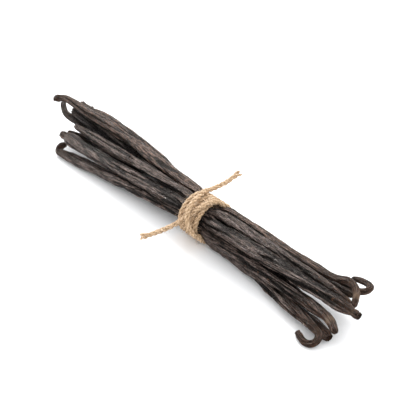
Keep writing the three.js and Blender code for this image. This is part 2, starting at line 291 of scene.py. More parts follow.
def mean_radius(name, x):
    return (PODS[name][0] + PODS[name][1]) / 4 * fullness(name, x)


print("pod_top is", round(2 * mean_radius("pod_top", -30), 1), "mm through, 30 mm from the tie")

# %% [markdown]
# A free pod is oval in section, with three shallow furrows that turn slowly along it. A ring
# is kept as one radius for each direction, which makes it easy to press flat later on.

# %% Free section of a pod
SIDES = 140
ROUND = np.arange(SIDES) / SIDES * 2 * math.pi
FURROW, FURROWS, FURROW_TURN = 0.05, 3, 0.03


def free_radius(name, x):
    width, thick, lie = PODS[name][:3]
    a, b, t = width / 2, thick / 2, ROUND - math.radians(lie)
    oval = a * b / np.hypot(b * np.cos(t), a * np.sin(t))
    turned = FURROWS * ROUND + FURROW_TURN * x + NAMES.index(name)
    furrow = 1 - FURROW * (1 + np.cos(turned)) / 2
    return oval * furrow * fullness(name, x)


print("free section at the tie, mm:", free_radius("pod_front_top", 0).round(1)[::20])

# %% [markdown]
# Soft pods that are tied together press each other flat. Cutting them with booleans would
# leave sharp edges. Instead a pod's radius is, in each direction, the smallest of its own
# free oval, half the way to each neighbour, the tie and the table. A soft minimum blends
# them, so the flats have rounded edges.

# %% Pressed section of a pod
GAP, TWINE, TIE_R = 0.3, 2.0, 6.7    # between solids; the twine's thickness; inside the tie
TIE_HALF, TIE_MORE, TOP_DEG = 5.3, 2.0, 75    # the tie is longer where its last turn crosses
FLARE, STEP = 1.1, 9    # how fast pods may spread past the tie, and where they meet the table
SOFT, FACING, LEAST_R = 8, 0.05, 0.3
PAST_END, NO_LIMIT = 2, 1e3


def tie_edge(name, x):
    waist = PODS[name][3]
    around = math.atan2(waist[1] - TIE_Z, waist[0])
    more = TIE_MORE * max(0, math.cos(around - math.radians(TOP_DEG)))
    return TIE_HALF + (more if x > 0 else 0)


def wall(away, toward):
    """How far off a flat wall is in each direction, where that direction faces it."""
    return np.where(toward > FACING, away / np.maximum(toward, FACING), NO_LIMIT)


def pressed_radius(name, x):
    c = centre(name, x)
    dy, dz = np.cos(ROUND), np.sin(ROUND)
    limits = [free_radius(name, x)]
    for other in NAMES:
        if other == name or abs(x) > half_of(other, x)["reach"] + PAST_END:
            continue
        o = centre(other, x)
        apart = math.hypot(o[1] - c[1], o[2] - c[2])
        facing = ((o[1] - c[1]) * dy + (o[2] - c[2]) * dz) / apart
        mine, theirs = mean_radius(name, x), mean_radius(other, x)
        share = (apart ** 2 + mine ** 2 - theirs ** 2) / (2 * apart)
        limits.append(wall(share - GAP / 2, facing))
    beyond = max(0, abs(x) - tie_edge(name, x))
    tie = TIE_R + FLARE * beyond
    along = c[1] * dy + (c[2] - TIE_Z) * dz
    inside = tie ** 2 - c[1] ** 2 - (c[2] - TIE_Z) ** 2
    if inside > 0:
        limits.append(np.sqrt(along ** 2 + inside) - along)
    table = TWINE * min(1, max(0, 1 - beyond / STEP)) + (0 if beyond > STEP else GAP)
    limits.append(wall(c[2] - table, -dz))
    return sum(np.maximum(r, LEAST_R) ** -SOFT for r in limits) ** (-1 / SOFT)


print("the same section pressed, mm:", pressed_radius("pod_front_top", 0).round(1)[::20])

# %% [markdown]
# ## Stems and tips
# A stem ends round, or in the flared nub where it broke off the vine: a nub widens, then dips
# in again like a cup, and its rim is cut into uneven lobes. A plain cap can't turn inward, so
# a tip is a list of steps ahead, each with its share of the stem's radius.

# %% Shape of a tip
TIP_STEP = 0.25
NUB_AT, RIM = (0, 0.9, 1.7, 2.9), 0.96
CUP = ((3.2, 0.9), (3.3, 0.78), (3.2, 0.66), (2.9, 0.54), (2.5, 0.36))
ROUND_TIP, ROUND_TIP_LENGTH = (15, 30, 45, 58, 69, 78), 0.95
LOBE_DEPTH, LOBE_START, LOBE_LENGTH = 0.18, 1.1, 1.2


def tip_profile(h):
    """Steps ahead of the stem's end in mm, each with its share of the stem's radius."""
    f = h["flare"]
    if f:
        ahead = np.arange(TIP_STEP, NUB_AT[-1], TIP_STEP)
        share = np.interp(ahead, NUB_AT, (1, (1 + f) / 2, f, RIM * f))
        return list(zip(ahead, share)) + [(at, part * f) for at, part in CUP]
    r = h["stem"] / 2
    return [(ROUND_TIP_LENGTH * r * math.sin(t), math.cos(t)) for t in np.radians(ROUND_TIP)]


def lobed(name, side, ahead):
    """The share of the radius that is left, because the rim of a nub is cut into lobes."""
    k = NAMES.index(name)
    lobes = 0.5 - 0.5 * np.cos(2 * ROUND + 1.3 * k + side) + 0.4 * np.cos(3 * ROUND + 2.1 * k)
    cut = LOBE_DEPTH * np.clip(lobes, 0, 1) * smooth((ahead - LOBE_START) / LOBE_LENGTH)
    return 1 - cut


print("the nub of pod_top has", len(tip_profile(half_of("pod_top", -1))), "rings")

# %% [markdown]
# The stem goes on round its bends from the end of the body. Bending it afterwards would
# shear its rings. Here a little frame of two directions is carried along and turned with
# the heading, which keeps the skin from twisting. Along its bends a stem thins a little.

# %% Rings of a stem
BEND_STEP, STEM_TAPER = 4, 0.18
TIP_SPREAD, CLOSE_AT = 0.02, 0.1


def ring(p, u, v, radius):
    return p + np.outer(radius * np.cos(ROUND), u) + np.outer(radius * np.sin(ROUND), v)


def stem_rings(name, side):
    """Rings down the stem, where each one is along the pod, and the point at the very end."""
    h = half_of(name, side)
    x = side * h["reach"]
    p, before = centre(name, x), centre(name, x - side)
    heading = Vector(p - before).normalized()
    turn = Vector((side, 0, 0)).rotation_difference(heading)
    u, v = turn @ Vector((0, 1, 0)), turn @ Vector((0, 0, 1))
    p, along = Vector(p), x
    radius = free_radius(name, x)
    rings, alongs, slim = [], [], 1.0
    whole = sum(b[0] * math.radians(b[1]) for b in h["bends"])
    for bend_radius, sweep, toward in h["bends"]:
        angle = math.radians(toward)
        inward = Vector((0, math.cos(angle), math.sin(angle)))
        inward = (inward - heading * inward.dot(heading)).normalized()
        axis = heading.cross(inward)
        pivot, arm, start = p + inward * bend_radius, -inward * bend_radius, heading.copy()
        steps = max(2, math.ceil(sweep / BEND_STEP))
        for i in range(1, steps + 1):
            swept = Quaternion(axis, math.radians(sweep) * i / steps)
            following = swept @ start
            turn = heading.rotation_difference(following)
            u, v, heading = turn @ u, turn @ v, following
            p = pivot + swept @ arm
            along += side * bend_radius * math.radians(sweep) / steps
            slim -= STEM_TAPER * bend_radius * math.radians(sweep) / steps / whole
            rings.append(ring(np.array(p), u, v, radius * slim))
            alongs.append(along)
    for step, (ahead, share) in enumerate(tip_profile(h)):
        cut = lobed(name, side, ahead) if h["flare"] else 1
        rings.append(ring(np.array(p + heading * ahead), u, v, radius * slim * share * cut))
        alongs.append(along + side * (ahead + TIP_SPREAD * step))
    last = tip_profile(h)[-1][0] + (-CLOSE_AT if h["flare"] else CLOSE_AT)
    return rings, alongs, np.array(p + heading * last)


print("the looped stem has", len(stem_rings("pod_looped", 1)[0]), "rings")

# %% [markdown]
# A whole pod is the far stem, the body and the near stem, one list of rings from tip to tip.
# Where a ring of the body is smaller than its free one, it is pressed. How much is kept for
# each point, because pressed skin is smooth and the finish paints shade on it.

# %% Rings of a whole pod
BODY_STEP, PRESSED_AT = 0.9, 0.35    # mm between rings; this much smaller is wholly pressed


def pod_rings(name):
    far, near = half_of(name, -1)["reach"], half_of(name, 1)["reach"]
    xs = np.linspace(-far, near, round((far + near) / BODY_STEP))
    u, v = np.array([0, 1, 0]), np.array([0, 0, 1])
    free = np.array([free_radius(name, x) for x in xs])
    held = np.array([pressed_radius(name, x) for x in xs])
    body = [ring(centre(name, x), u, v, radius) for x, radius in zip(xs, held)]
    far_rings, far_along, far_tip = stem_rings(name, -1)
    near_rings, near_along, near_tip = stem_rings(name, 1)
    rings = np.array(far_rings[::-1] + body + near_rings)
    along = np.array(far_along[::-1] + list(xs) + near_along)
    pressed = np.zeros(rings.shape[:2])
    start = len(far_rings)
    pressed[start:start + len(xs)] = np.clip((1 - held / free) / PRESSED_AT, 0, 1)
    return rings, along, pressed, (far_tip, near_tip)


print("pod_heart has", len(pod_rings("pod_heart")[0]), "rings")

# %% [markdown]
# The rings are joined with quads into one closed mesh, and a fan of triangles closes each
# tip. A curve with a bevel would be quicker to set up, but it has one section all along,
# and these sections change from ring to ring.

# %% Skin the rings
def skin_mesh(name, rings, tips):
    count = len(rings)
    points = np.vstack([rings.reshape(-1, 3), *tips])
    faces = []
    for i in range(count - 1):
        for j in range(SIDES):
            a, b = i * SIDES + j, i * SIDES + (j + 1) % SIDES
            faces.append((a, b, b + SIDES, a + SIDES))
    base = (count - 1) * SIDES
    for j in range(SIDES):
        k = (j + 1) % SIDES
        faces.append((count * SIDES, k, j))
        faces.append((count * SIDES + 1, base + j, base + k))
    mesh = bpy.data.meshes.new(name + "_skin")
    mesh.from_pydata([tuple(p) for p in (points + ORIGIN) * MM], [], faces)
    mesh.shade_smooth()
    return mesh


print("each ring of a pod has", SIDES, "points")

# %% [markdown]
# Each point also keeps where it would be on the pod pulled straight, in millimetres.
# Wrinkles drawn in that straight space follow the pod round its bends, where plain places
# would cut across them. A slow twist lets them wander round the pod as real ones do. Four
# numbers say how far a point is down the stem, at the joint of a stem, at the very tip, and
# pressed flat against a neighbour. The wrinkles and the finish use these marks.

# %% Marks kept on the skin
TWISTS = ((0.5, 0.031, 2.1), (0.3, 0.083, 1.3))    # height, turn for each mm and each pod
STRAIGHT_R, TIP_LENGTH = 2.3, 2.2
JOINTS = {"pod_top": 15.6, "pod_front_low": 3.8}    # mm past the near end of the body
JOINT_LENGTH, JOINT_FAINT = 1.1, 0.25


def straightened(along, k):
    twist = sum(height * np.sin(per_mm * along + per_pod * k)
                for height, per_mm, per_pod in TWISTS)
    turned = ROUND[None, :] + twist[:, None]
    straight = np.stack([STRAIGHT_R * np.cos(turned), STRAIGHT_R * np.sin(turned),
                         np.repeat(along[:, None], SIDES, 1)], axis=-1).reshape(-1, 3)
    return np.vstack([straight, (0, 0, along[0]), (0, 0, along[-1])])


def keep(mesh, label, values, kind="FLOAT", field="value"):
    stored = mesh.attributes.new(label, kind, "POINT")
    stored.data.foreach_set(field, values.astype(np.float32).ravel())


def pod_skin(name):
    rings, along, pressed, tips = pod_rings(name)
    mesh = skin_mesh(name, rings, tips)
    far, near = half_of(name, -1), half_of(name, 1)
    left = np.where(along < 0, (far["reach"] + along) / far["neck"],
                    (near["reach"] - along) / near["neck"])
    joint = np.exp(-((near["reach"] + JOINTS.get(name, 0) - along) / JOINT_LENGTH) ** 2)
    joint = joint * (1 if name in JOINTS else JOINT_FAINT)
    to_tip = np.minimum(along - along[0], along[-1] - along)
    tip = np.clip(1 - to_tip / TIP_LENGTH, 0, 1)
    keep(mesh, "straight", straightened(along, NAMES.index(name)), "FLOAT_VECTOR", "vector")
    for label, values, at_tips in (("stem", 1 - np.clip(left, 0, 1), 1), ("joint", joint, 0),
                                   ("tip", tip, 1)):
        keep(mesh, label, np.append(np.repeat(values, SIDES), [at_tips, at_tips]))
    keep(mesh, "pressed", np.append(pressed.ravel(), [0, 0]))
    return mesh


print("50 mm along, the first point of a ring is straightened to",
      straightened(np.array([50.0]), 0)[0].round(1))

# %% [markdown]
# ## Wrinkles, with Geometry Nodes
# Drying folds the skin into hundreds of long creases, far too many to model by hand. A small
# node tree makes them from noise. Its inputs say how high or deep each kind of fold is, so
# that the skin can be tuned without touching the tree. A few helpers keep the tree readable.

# %% Start of the wrinkle tree
def new_tree(name, sockets, result):
    """A tree with these inputs and one result; also its inputs' identifiers and outputs."""
    tree = bpy.data.node_groups.new(name, "GeometryNodeTree")
    ids = {}
    for label, kind, value in sockets:
        made = tree.interface.new_socket(label, in_out="INPUT", socket_type="NodeSocket" + kind)
        if value is not None:
            made.default_value = value
        ids[label] = made.identifier
    tree.interface.new_socket(result, in_out="OUTPUT", socket_type="NodeSocketGeometry")
    return tree, ids, tree.nodes.new("NodeGroupInput").outputs


def add(tree, kind, inputs=None, **settings):
    """A new node; each input is a value, or another node's output to link."""
    node = tree.nodes.new(kind)
    for key, value in settings.items():
        setattr(node, key, value)
    for key, value in (inputs or {}).items():
        if isinstance(value, bpy.types.NodeSocket):
            tree.links.new(value, node.inputs[key])
        else:
            node.inputs[key].default_value = value
    return node


def maths(tree, operation, a, b=0.0, c=0.0):
    return add(tree, "ShaderNodeMath", {0: a, 1: b, 2: c}, operation=operation).outputs[0]


def vectors(tree, operation, inputs):
    return add(tree, "ShaderNodeVectorMath", inputs, operation=operation).outputs[0]


wrinkles, wrinkle_ids, given = new_tree("sink_wrinkles", (
    ("Skin", "Geometry", None), ("Seed", "Float", 0.0), ("Swell", "Float", 0.24 * MM),
    ("Ridge height", "Float", 0.34 * MM), ("Crinkle height", "Float", 0.34 * MM),
    ("Furrow depth", "Float", 0.60 * MM), ("Wrinkle depth", "Float", 0.20 * MM),
    ("Ragged depth", "Float", 0.6 * MM), ("Groove depth", "Float", 0.05 * MM),
    ("Finish", "Material", None)), "Skin")
print("inputs of the wrinkle tree:", ", ".join(wrinkle_ids))

# %% [markdown]
# A crease is a thin, long, forked line. Scattered grooves would cross each other like
# scratches. Noise that is stretched along the pod passes through its middle value along just
# such forked lines, so a crease is where the noise is near 0.5. The same kind of noise, used
# plainly, gives broad ridges and small crinkles between the creases.

# %% Creases, ridges and crinkles
sums = partial(maths, wrinkles)


def named(name, kind="FLOAT"):
    return add(wrinkles, "GeometryNodeInputNamedAttribute", {"Name": name},
               data_type=kind).outputs[0]


def stretched(tree, place, fine, long):
    """The place in waves: so many for each mm across the pod, and along it."""
    return vectors(tree, "MULTIPLY", {0: place, 1: (fine, fine, long)})


straight_place = named("straight", "FLOAT_VECTOR")


def noise_at(fine, long):
    return add(wrinkles, "ShaderNodeTexNoise", {
        "Vector": stretched(wrinkles, straight_place, fine, long), "W": given["Seed"],
        "Scale": 1.0, "Detail": 1.5, "Roughness": 0.5}, noise_dimensions="4D").outputs[0]


def crease(fine, long, width):
    """1 on the line where the noise passes its middle, down to 0 beside it."""
    off = sums("ABSOLUTE", sums("SUBTRACT", noise_at(fine, long), 0.5))
    near = sums("MAXIMUM", sums("SUBTRACT", 1.0, sums("DIVIDE", off, width)), 0.0)
    return sums("MULTIPLY", near, sums("SUBTRACT", 2.0, near))


def waves(fine, long):
    """The noise as heights from -1 to 1."""
    return sums("MULTIPLY_ADD", noise_at(fine, long), 2.0, -1.0)


furrows = crease(fine=0.30, long=0.020, width=0.060)
lines = crease(fine=0.75, long=0.070, width=0.090)
ridges, crinkles = waves(fine=0.42, long=0.025), waves(fine=1.35, long=0.24)
print("wrinkle tree:", len(wrinkles.nodes), "nodes so far")

# %% [markdown]
# Ridges and crinkles raise the skin, and furrows and lines sink it. A stem is wiry and
# wrinkles less. Skin pressed on a neighbour stays flat and a little sunk, so that no two
# pods meet. The very tips are torn, by noise of the same size across and along.

# %% Height of the skin
STEM_LESS, TORN_WAVES = 0.35, 0.9
up = sums("MULTIPLY_ADD", ridges, given["Ridge height"],
          sums("MULTIPLY", crinkles, given["Crinkle height"]))
down = sums("ADD", sums("MULTIPLY", furrows, given["Furrow depth"]),
            sums("MULTIPLY", lines, given["Wrinkle depth"]))
less = sums("MULTIPLY_ADD", named("stem"), -STEM_LESS, 1.0)
rise = sums("MULTIPLY_ADD", sums("SUBTRACT", up, down), less, given["Swell"])
pressed = named("pressed")
rise = sums("MULTIPLY", rise, sums("SUBTRACT", 1.0, pressed))
rise = sums("SUBTRACT", rise, sums("MULTIPLY", pressed, given["Groove depth"]))
ragged = sums("MULTIPLY", noise_at(TORN_WAVES, TORN_WAVES), named("tip"))
rise = sums("SUBTRACT", rise, sums("MULTIPLY", ragged, given["Ragged depth"]))
print("wrinkle tree:", len(wrinkles.nodes), "nodes so far")

# %% [markdown]
# The points move along their normals by that height. Bump in a finish could fake the folds
# from afar, but real ones show in the outline and cast shadows. How high a point stands is
# stored as "crest", and the finish paints light on the folds and paints shade in the
# creases.

# %% Move the skin and store its crest
# crest for the finish: ridges and crinkles paint light, lines and furrows paint shade
CREST_MIDDLE, RIDGE_PAINTED_LIGHT, CRINKLE_PAINTED_LIGHT = 0.74, 0.6, 0.7
LINE_PAINTED_SHADE, FURROW_PAINTED_SHADE = 0.35, 0.75
normal = add(wrinkles, "GeometryNodeInputNormal").outputs[0]
moved = add(wrinkles, "GeometryNodeSetPosition", {
    "Geometry": given["Skin"], "Offset": vectors(wrinkles, "SCALE", {0: normal, "Scale": rise})})
sunk = sums("MULTIPLY_ADD", lines, LINE_PAINTED_SHADE, sums("MULTIPLY", furrows, FURROW_PAINTED_SHADE))
raised = sums("MULTIPLY_ADD", ridges, RIDGE_PAINTED_LIGHT, CREST_MIDDLE)
crest = sums("MULTIPLY_ADD", crinkles, CRINKLE_PAINTED_LIGHT, sums("SUBTRACT", raised, sunk))
stored = add(wrinkles, "GeometryNodeStoreNamedAttribute", {
    "Geometry": moved.outputs[0], "Name": "crest", "Value": crest},
    data_type="FLOAT", domain="POINT")


def end_tree(tree, geometry, material):
    """Realizes what the tree made, gives it its finish and hands it out."""
    real = add(tree, "GeometryNodeRealizeInstances", {0: geometry})
    dressed = add(tree, "GeometryNodeSetMaterial", {
        "Geometry": real.outputs[0], "Material": material})
    tree.links.new(dressed.outputs[0], tree.nodes.new("NodeGroupOutput").inputs[0])


end_tree(wrinkles, stored.outputs[0], given["Finish"])
print("wrinkle tree:", len(wrinkles.nodes), "nodes in all")

# %% [markdown]
# ## Finish of the pods
# The skin is leathery, and its colour changes in streaks, flecks and grains that run along
# the pod. A painted image would stretch at the bends, so each pattern is noise in the same
# straightened place as the wrinkles. Each has its own size across and along the pod.

# %% Patterns of the skin
SKIN_NOISE = {    # waves for each mm across the pod and along it, and levels of detail
    "streak": (2.7, 0.20, 3.0), "patch": (0.25, 0.05, 2.0), "crumple": (2.5, 0.95, 3.0),
    "spot": (0.8, 0.30, 1.0), "grain": (2.9, 1.2, 2.0)}


def skin_maps(tree):
    """The marks on the skin and the patterns that run along it, each by its name."""
    maps = {label: add(tree, "ShaderNodeAttribute", attribute_name=label).outputs["Fac"]
            for label in ("crest", "stem", "joint", "pressed")}
    place = add(tree, "ShaderNodeAttribute", attribute_name="straight").outputs["Vector"]
    for label, (fine, long, detail) in SKIN_NOISE.items():
        maps[label] = add(tree, "ShaderNodeTexNoise", {
            "Vector": stretched(tree, place, fine, long), "Scale": 1.0, "Detail": detail,
            "Roughness": 0.6}).outputs[0]
    return maps


def ramp(tree, factor, *stops):
    """Colours at these positions; a single number is a grey."""
    node = add(tree, "ShaderNodeValToRGB", {0: factor})
    marks = node.color_ramp.elements
    while len(marks) < len(stops):
        marks.new(0.5)
    for mark, (position, colour) in zip(marks, stops):
        mark.position = position
        mark.color = (*(colour if isinstance(colour, tuple) else (colour,) * 3), 1)
    return node.outputs[0]


def mix(tree, factor, a, b, blend="MIX"):
    node = add(tree, "ShaderNodeMix", data_type="RGBA", blend_type=blend)
    for key, value in ((0, factor), (6, a), (7, b)):
        if isinstance(value, bpy.types.NodeSocket):
            tree.links.new(value, node.inputs[key])
        else:
            node.inputs[key].default_value = value if key == 0 else (*value, 1)
    return node.outputs[2]


print("patterns:", ", ".join(SKIN_NOISE))

# %% [markdown]
# Skin is grey-brown, with painted shade in the creases, nearly black, and a paler painted
# light on the folds. One flat brown would look like plastic, so streaks and flecks make it
# paler or darker by turns, and slow patches shift it along the pod. Small pale specks on the
# folds are painted glints, as on oily skin.

# %% Colour of the skin
# painted highlight: pale glint specks laid on the folds of the skin
PAINTED_GLINT = (0.21, 0.185, 0.178)


def skin_colour(tree, maps, deep, skin, fold):
    """The colour of the skin, and the streaks alone, which run on over the stem."""
    # painted shade in the creases (deep) and painted light on the folds (fold), by the crest
    colour = ramp(tree, maps["crest"], (0.26, deep), (0.48, skin), (1.0, fold))
    paler = ramp(tree, maps["streak"], (0.44, 0.24), (0.57, (1.95, 1.90, 1.88)))
    flecks = ramp(tree, maps["crumple"], (0.42, (0.45, 0.44, 0.43)), (0.60, (1.60, 1.62, 1.66)))
    darker = ramp(tree, maps["patch"], (0.35, (0.82, 0.79, 0.77)), (0.65, (1.15, 1.11, 1.08)))
    for change in (paler, flecks, darker):
        colour = mix(tree, 1.0, colour, change, "MULTIPLY")
    # painted glints: pale specks where the grain noise is high, strongest on the folds
    glint_specks = ramp(tree, maps["grain"], (0.58, 0), (0.66, 0.55))
    glint_on_folds = maths(tree, "MULTIPLY", glint_specks, maths(tree, "MINIMUM", maps["crest"], 1.0))
    return mix(tree, glint_on_folds, colour, PAINTED_GLINT), paler


print("painted glint is", PAINTED_GLINT)

# %% [markdown]
# Toward the stem the skin turns woody and redder, with dark bark between. Where pods press
# on each other the light never gets in, so shade is painted there, nearly black. A few spots
# are rusty, and a stem's joint is pale where its bark has rubbed off. Each is laid over the
# last in turn.

# %% Stems, painted shade on pressed skin, spots and joints
# painted shade: nearly black where pods press on each other
BARK_DARK, PRESSED_PAINTED_SHADE = (0.012, 0.007, 0.005), (0.001, 0.0008, 0.0008)
RUST, JOINT_WOOD = (0.13, 0.065, 0.038), (0.36, 0.245, 0.16)


def laid_over(tree, maps, colour, paler, stem_colour):
    bark = ramp(tree, maps["crumple"], (0.42, 0), (0.58, 1))
    woody = mix(tree, 0.7, mix(tree, bark, BARK_DARK, stem_colour), paler, "MULTIPLY")
    rusty = ramp(tree, maps["spot"], (0.72, 0), (0.76, 0.7))
    rubbed = maths(tree, "MULTIPLY", maps["crumple"], 0.8)
    for factor, over in ((maths(tree, "MULTIPLY", maps["stem"], 0.75), woody),
                         (maths(tree, "MULTIPLY", maps["pressed"], 0.95), PRESSED_PAINTED_SHADE),
                         (rusty, RUST),
                         (maths(tree, "MULTIPLY", maps["joint"], rubbed), JOINT_WOOD)):
        colour = mix(tree, factor, colour, over)
    return colour


print("colours laid over the skin:", BARK_DARK, PRESSED_PAINTED_SHADE, RUST, JOINT_WOOD)

# %% [markdown]
# Dried oil gives a satin sheen that comes and goes with the crumpled surface. The finest
# roughness is bump, as it is too small to be worth real points. Three finishes differ in
# depth: dark, browner, and a near-black copy for the pods at the heart of the bundle, which
# is painted shade, as those pods lie in shade.

# %% Sheen, bump and the three finishes
BUMP_DEPTH, SKIN_SPECULAR, SHEEN_TINT = 1.3 * MM, 0.13, (1.0, 0.84, 0.74, 1)


def pod_finish(name, deep, skin, fold, stem_colour):
    made, tree, shader = finish(name)
    maps = skin_maps(tree)
    colour, paler = skin_colour(tree, maps, deep, skin, fold)
    tree.links.new(laid_over(tree, maps, colour, paler, stem_colour),
                   shader.inputs["Base Color"])
    gloss = ramp(tree, maps["crumple"], (0.44, 0.50), (0.58, 0.17))
    tree.links.new(gloss, shader.inputs["Roughness"])
    shader.inputs["Specular IOR Level"].default_value = SKIN_SPECULAR
    shader.inputs["Specular Tint"].default_value = SHEEN_TINT
    rough = maths(tree, "MULTIPLY_ADD", maps["grain"], 0.8, maps["crumple"])
    rough = maths(tree, "MULTIPLY_ADD", maps["streak"], 0.7, rough)
    bump = add(tree, "ShaderNodeBump", {
        "Height": rough, "Strength": 1.0, "Distance": BUMP_DEPTH})
    tree.links.new(bump.outputs[0], shader.inputs["Normal"])
    return made


dark_pod = pod_finish("pod_dark_skin", (0.002, 0.0015, 0.0014), (0.066, 0.051, 0.044),
                      (0.090, 0.074, 0.068), (0.100, 0.056, 0.039))
brown_pod = pod_finish("pod_brown_skin", (0.003, 0.002, 0.0016), (0.088, 0.059, 0.046),
                       (0.118, 0.086, 0.071), (0.085, 0.050, 0.035))
# painted shade: a near-black copy of the skin for the pods deep in the bundle
painted_shade_pod = pod_finish("pod_painted_shade_skin", (0.0015, 0.001, 0.001), (0.014, 0.0115, 0.0105),
                       (0.040, 0.034, 0.031), (0.050, 0.032, 0.024))
print("finishes:", dark_pod.name, brown_pod.name, painted_shade_pod.name)

# %% [markdown]
# Now the nine pods are made. Each gets its own seed, so that no two wrinkle alike. A live
# modifier would be worked out again at every change, and each pod has to be a plain mesh in
# the end, so the tree is run once and its result kept.

# %% Make the nine pods
SEED_STEP = 3.7
# pods that get the painted-shade copy of the skin
BROWN, PAINTED_SHADE_PODS = {"pod_top", "pod_looped"}, {"pod_heart", "pod_slender"}


def grow(piece, tree, values):
    """Runs the tree on the piece and keeps the result as a plain mesh."""
    modifier = piece.modifiers.new(tree.name, "NODES")
    modifier.node_group = tree
    for identifier, value in values.items():
        modifier[identifier] = value
    graph = bpy.context.evaluated_depsgraph_get()
    grown = bpy.data.meshes.new_from_object(piece.evaluated_get(graph),
                                            preserve_all_data_layers=True, depsgraph=graph)
    piece.modifiers.remove(modifier)
    piece.data = grown
    grown.shade_smooth()
    return grown


for number, name in enumerate(NAMES):
    piece = bpy.data.objects.new(name + "_skin", pod_skin(name))
    bpy.context.collection.objects.link(piece)
    skin_finish = brown_pod if name in BROWN else painted_shade_pod if name in PAINTED_SHADE_PODS else dark_pod
    grown = grow(piece, wrinkles, {wrinkle_ids["Seed"]: SEED_STEP * number,
                                   wrinkle_ids["Finish"]: skin_finish})
    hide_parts(name)
    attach(piece, "root")
    print(name, len(grown.polygons), "faces")

# %% [markdown]
# ## The twine
# Jute twine is three plies twisted together, hairy with loose ends of fibre. It goes round
# the bundle in five turns, side by side and tilted a little. A strand that crosses others
# climbs over them: ride_radius lifts it as it comes near them and lets it down beyond.

# %% Turns of the twine
TURNS, PITCH, FIRST_X, TILT = 5, 2.2, 4.7, 0.8
LAY_R, LAYER = TIE_R + GAP + TWINE / 2, TWINE + 0.12    # of the turns; up to a strand on top
KNOT_DEG, UNDER_DEG, EDGE_DEG = 143, 300, 200


def turn_x(deg):
    lean = TILT * math.cos(math.radians(deg - KNOT_DEG))
    return FIRST_X - PITCH * (deg - UNDER_DEG) / 360 + lean


def ride_radius(x, low, high):
    clear = max(0, low - x, x - high)
    return LAY_R + math.sqrt(max(0, LAYER ** 2 - clear ** 2))


def over_turns(deg, x):
    return ride_radius(x, turn_x(deg - 360), turn_x(deg - 360 * TURNS))


def lay(deg, x, r):
    z = max(TWINE / 2, TIE_Z + r * math.sin(math.radians(deg)))
    return (x, r * math.cos(math.radians(deg)), z)


print("the turns lie from x =", round(turn_x(UNDER_DEG + 360 * TURNS), 1),
      "to", round(turn_x(UNDER_DEG), 1), "mm")

# %% [markdown]
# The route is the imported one: from the back tail over the knot, down the front, under the
# bundle, round the turns, across them at the back, over the top and under the knot to the
# front tail. A screw modifier would give only the turns, so the route is a list of points.

# %% Route of the twine
START_DEG, KNOT_HALF_DEG, DEG_STEP, CROSS_STEP = 80, 38, 6, 5
TOP_ON, OFF_ON, TOP_X, OFF_X, KNOT_BACK_X = 80, 220, 6.5, 0, -2
BACK_TAIL = [(-2.2, 19.6, 20), (-2.6, 17, 18.9), (-3.1, 13.4, 17.5), (-3.6, 9.5, 16.9),
             (-3.7, 6, 16.9), (-3.2, 3.4, 17.8)]
FRONT_TAIL = [(-0.9, -11.6, 11.2), (-1.5, -14.6, 10.3), (-1.9, -18, 9.9),
              (-2.2, -21.6, 9.9), (-2.3, -25.2, 10.2), (-2.3, -28.6, 10.9)]


def twine_route():
    route = list(BACK_TAIL)
    for deg in range(START_DEG, UNDER_DEG, DEG_STEP):
        t = (deg - START_DEG) / (EDGE_DEG - START_DEG)
        x = KNOT_BACK_X + (turn_x(EDGE_DEG) - KNOT_BACK_X) * t if t < 1 else turn_x(deg)
        off_knot = min(1, abs(deg - KNOT_DEG) / KNOT_HALF_DEG)
        over = LAYER * math.cos(math.radians(90 * off_knot))
        under = ride_radius(x, turn_x(deg + 360 * TURNS), turn_x(deg + 360))
        route.append(lay(deg, x, under + over))
    done = UNDER_DEG + 360 * TURNS
    route += [lay(deg, turn_x(deg), LAY_R) for deg in range(UNDER_DEG, done, DEG_STEP)]
    top, off = done + TOP_ON, done + OFF_ON
    for deg in range(done, top, CROSS_STEP):
        x = turn_x(done) + (TOP_X - turn_x(done)) * smooth((deg - done) / (top - done))
        route.append(lay(deg, x, over_turns(deg, x)))
    for deg in range(top, off + 1, CROSS_STEP):
        x = TOP_X + (OFF_X - TOP_X) * ((deg - top) / (off - top)) ** 3
        route.append(lay(deg, x, over_turns(deg, x)))
    return np.array(route + FRONT_TAIL)


print("the route has", len(twine_route()), "points")

# %% [markdown]
# Twine bends in smooth curves, and its twist must be even. A smooth curve through the points
# gives the first, and laying new points on it in even steps gives the second.

# %% Smooth route in even steps
ROUTE_STEP, CURVE_STEPS = 0.4, 8


def rounded(route, step):
    padded = np.vstack([2 * route[0] - route[1], route, 2 * route[-1] - route[-2]])
    fine = []
    for i in range(1, len(padded) - 2):
        a, b, c, d = padded[i - 1:i + 3]
        for t in np.arange(CURVE_STEPS) / CURVE_STEPS:
            fine.append(0.5 * (2 * b + (c - a) * t + (2 * a - 5 * b + 4 * c - d) * t ** 2
                               + (3 * b - a - 3 * c + d) * t ** 3))
    fine = np.array(fine + [route[-1]])
    run = np.append(0, np.cumsum(np.linalg.norm(np.diff(fine, axis=0), axis=1)))
    even = np.arange(0, run[-1], step)
    return np.stack([np.interp(even, run, fine[:, k]) for k in range(3)], axis=-1), run[-1]


route, twine_length = rounded(twine_route(), ROUTE_STEP)
print("twine", round(twine_length), "mm long, of which tails of about 20 mm each")

# %% [markdown]
# One tree makes the twine from its route. First it measures how far along the route a point
# is, because the plies wind by that. The last millimetres of each tail are let loose, since
# cut jute opens at its end.

